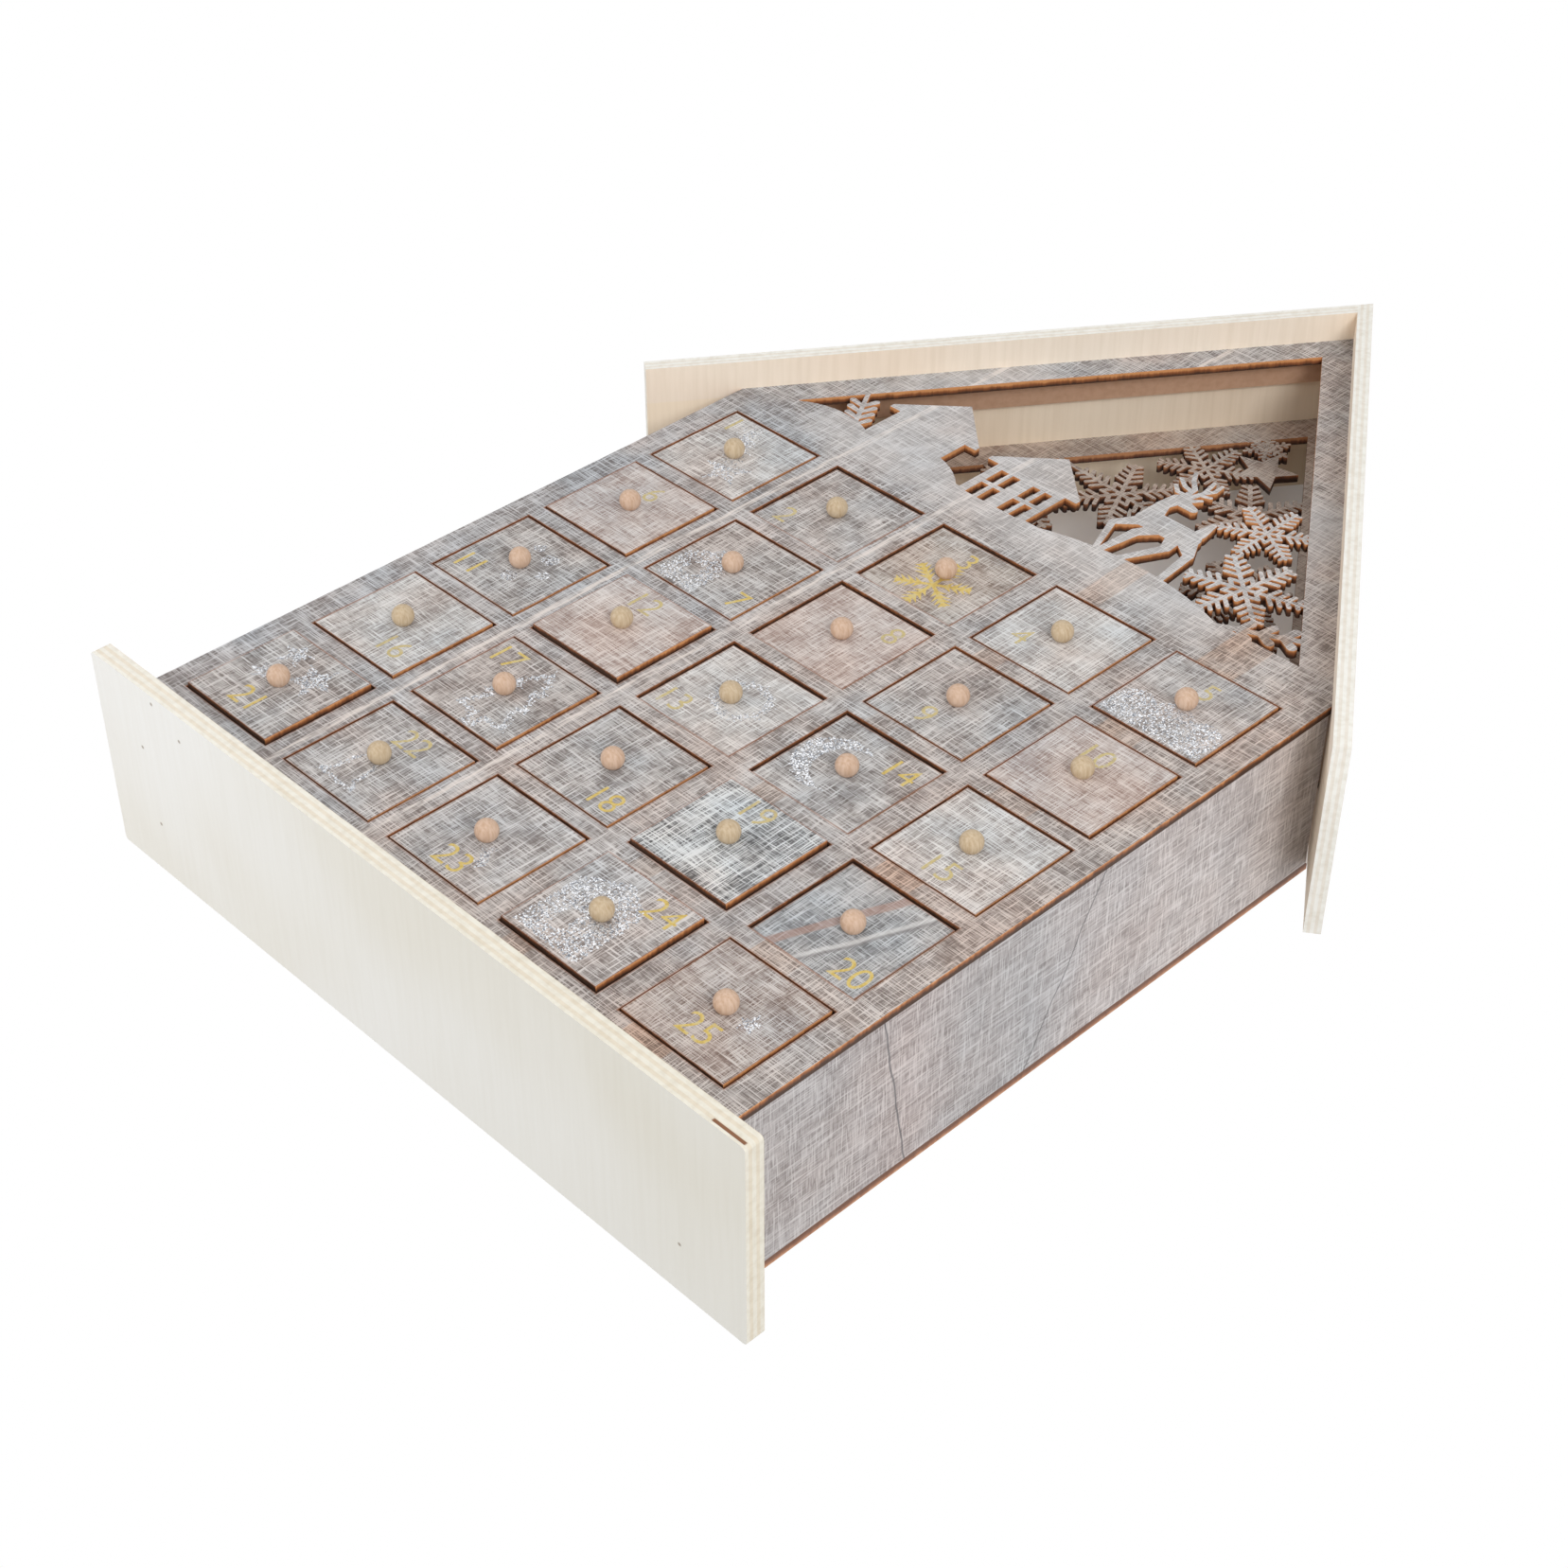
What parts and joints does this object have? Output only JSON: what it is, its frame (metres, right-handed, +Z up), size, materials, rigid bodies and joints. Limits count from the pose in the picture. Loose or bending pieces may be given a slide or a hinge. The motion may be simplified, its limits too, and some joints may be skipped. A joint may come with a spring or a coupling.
{
  "type": "advent calendar",
  "caption": "House-shaped wooden advent calendar: pitched roof, laser-cut winter scene in the gable, and rows of small numbered drawers with bead knobs that slide out of the front.",
  "frame": {"origin": "centre of the bounding box in X and Y, on the base board's underside", "axes": "+Z up, front with the drawers facing -Y, +X to the right seen from the front"},
  "size_m": [0.3096, 0.0776, 0.4575],
  "materials": {
    "washed_ply": "matt grey-washed plywood",
    "pale_ply": "bare sanded plywood",
    "beech": "bare turned beech"
  },
  "bodies": {
    "cabinet": {"base_board": "pale_ply", "wall_left": "washed_ply", "wall_right": "washed_ply", "front_panel": "washed_ply", "back_panel": "washed_ply", "divider_grid": "pale_ply", "gable_screen": "washed_ply", "gable_battens": "pale_ply", "roof_left": "pale_ply", "roof_right": "pale_ply"},
    "drawer_body_01": {"drawer_01": "washed_ply", "knob_01": "beech"},
    "drawer_body_02": {"drawer_02": "washed_ply", "knob_02": "beech"},
    "drawer_body_03": {"drawer_03": "washed_ply", "knob_03": "beech"},
    "drawer_body_04": {"drawer_04": "washed_ply", "knob_04": "beech"},
    "drawer_body_05": {"drawer_05": "washed_ply", "knob_05": "beech"},
    "drawer_body_06": {"drawer_06": "washed_ply", "knob_06": "beech"},
    "drawer_body_07": {"drawer_07": "washed_ply", "knob_07": "beech"},
    "drawer_body_08": {"drawer_08": "washed_ply", "knob_08": "beech"},
    "drawer_body_09": {"drawer_09": "washed_ply", "knob_09": "beech"},
    "drawer_body_10": {"drawer_10": "washed_ply", "knob_10": "beech"},
    "drawer_body_11": {"drawer_11": "washed_ply", "knob_11": "beech"},
    "drawer_body_12": {"drawer_12": "washed_ply", "knob_12": "beech"},
    "drawer_body_13": {"drawer_13": "washed_ply", "knob_13": "beech"},
    "drawer_body_14": {"drawer_14": "washed_ply", "knob_14": "beech"},
    "drawer_body_15": {"drawer_15": "washed_ply", "knob_15": "beech"},
    "drawer_body_16": {"drawer_16": "washed_ply", "knob_16": "beech"},
    "drawer_body_17": {"drawer_17": "washed_ply", "knob_17": "beech"},
    "drawer_body_18": {"drawer_18": "washed_ply", "knob_18": "beech"},
    "drawer_body_19": {"drawer_19": "washed_ply", "knob_19": "beech"},
    "drawer_body_20": {"drawer_20": "washed_ply", "knob_20": "beech"},
    "drawer_body_21": {"drawer_21": "washed_ply", "knob_21": "beech"},
    "drawer_body_22": {"drawer_22": "washed_ply", "knob_22": "beech"},
    "drawer_body_23": {"drawer_23": "washed_ply", "knob_23": "beech"},
    "drawer_body_24": {"drawer_24": "washed_ply", "knob_24": "beech"},
    "drawer_body_25": {"drawer_25": "washed_ply", "knob_25": "beech"}
  },
  "joints": [
    {"name": "drawer_slide_01", "type": "slide", "parent": "cabinet", "child": "drawer_body_01", "axis": [0, -1, 0], "range_m": [0, 0.05]},
    {"name": "drawer_slide_02", "type": "slide", "parent": "cabinet", "child": "drawer_body_02", "axis": [0, -1, 0], "range_m": [0, 0.05]},
    {"name": "drawer_slide_03", "type": "slide", "parent": "cabinet", "child": "drawer_body_03", "axis": [0, -1, 0], "range_m": [0, 0.05]},
    {"name": "drawer_slide_04", "type": "slide", "parent": "cabinet", "child": "drawer_body_04", "axis": [0, -1, 0], "range_m": [0, 0.05]},
    {"name": "drawer_slide_05", "type": "slide", "parent": "cabinet", "child": "drawer_body_05", "axis": [0, -1, 0], "range_m": [-0.0006, 0.0494]},
    {"name": "drawer_slide_06", "type": "slide", "parent": "cabinet", "child": "drawer_body_06", "axis": [0, -1, 0], "range_m": [-0.0006, 0.0494]},
    {"name": "drawer_slide_07", "type": "slide", "parent": "cabinet", "child": "drawer_body_07", "axis": [0, -1, 0], "range_m": [0, 0.05]},
    {"name": "drawer_slide_08", "type": "slide", "parent": "cabinet", "child": "drawer_body_08", "axis": [0, -1, 0], "range_m": [0, 0.05]},
    {"name": "drawer_slide_09", "type": "slide", "parent": "cabinet", "child": "drawer_body_09", "axis": [0, -1, 0], "range_m": [0, 0.05]},
    {"name": "drawer_slide_10", "type": "slide", "parent": "cabinet", "child": "drawer_body_10", "axis": [0, -1, 0], "range_m": [-0.0006, 0.0494]},
    {"name": "drawer_slide_11", "type": "slide", "parent": "cabinet", "child": "drawer_body_11", "axis": [0, -1, 0], "range_m": [0, 0.05]},
    {"name": "drawer_slide_12", "type": "slide", "parent": "cabinet", "child": "drawer_body_12", "axis": [0, -1, 0], "range_m": [-0.0017, 0.0483]},
    {"name": "drawer_slide_13", "type": "slide", "parent": "cabinet", "child": "drawer_body_13", "axis": [0, -1, 0], "range_m": [0, 0.05]},
    {"name": "drawer_slide_14", "type": "slide", "parent": "cabinet", "child": "drawer_body_14", "axis": [0, -1, 0], "range_m": [0, 0.05]},
    {"name": "drawer_slide_15", "type": "slide", "parent": "cabinet", "child": "drawer_body_15", "axis": [0, -1, 0], "range_m": [0, 0.05]},
    {"name": "drawer_slide_16", "type": "slide", "parent": "cabinet", "child": "drawer_body_16", "axis": [0, -1, 0], "range_m": [-0.0006, 0.0494]},
    {"name": "drawer_slide_17", "type": "slide", "parent": "cabinet", "child": "drawer_body_17", "axis": [0, -1, 0], "range_m": [-0.0006, 0.0494]},
    {"name": "drawer_slide_18", "type": "slide", "parent": "cabinet", "child": "drawer_body_18", "axis": [0, -1, 0], "range_m": [0, 0.05]},
    {"name": "drawer_slide_19", "type": "slide", "parent": "cabinet", "child": "drawer_body_19", "axis": [0, -1, 0], "range_m": [-0.0017, 0.0483]},
    {"name": "drawer_slide_20", "type": "slide", "parent": "cabinet", "child": "drawer_body_20", "axis": [0, -1, 0], "range_m": [0, 0.05]},
    {"name": "drawer_slide_21", "type": "slide", "parent": "cabinet", "child": "drawer_body_21", "axis": [0, -1, 0], "range_m": [-0.0017, 0.0483]},
    {"name": "drawer_slide_22", "type": "slide", "parent": "cabinet", "child": "drawer_body_22", "axis": [0, -1, 0], "range_m": [0, 0.05]},
    {"name": "drawer_slide_23", "type": "slide", "parent": "cabinet", "child": "drawer_body_23", "axis": [0, -1, 0], "range_m": [0, 0.05]},
    {"name": "drawer_slide_24", "type": "slide", "parent": "cabinet", "child": "drawer_body_24", "axis": [0, -1, 0], "range_m": [-0.0017, 0.0483]},
    {"name": "drawer_slide_25", "type": "slide", "parent": "cabinet", "child": "drawer_body_25", "axis": [0, -1, 0], "range_m": [-0.0006, 0.0494]}
  ]
}
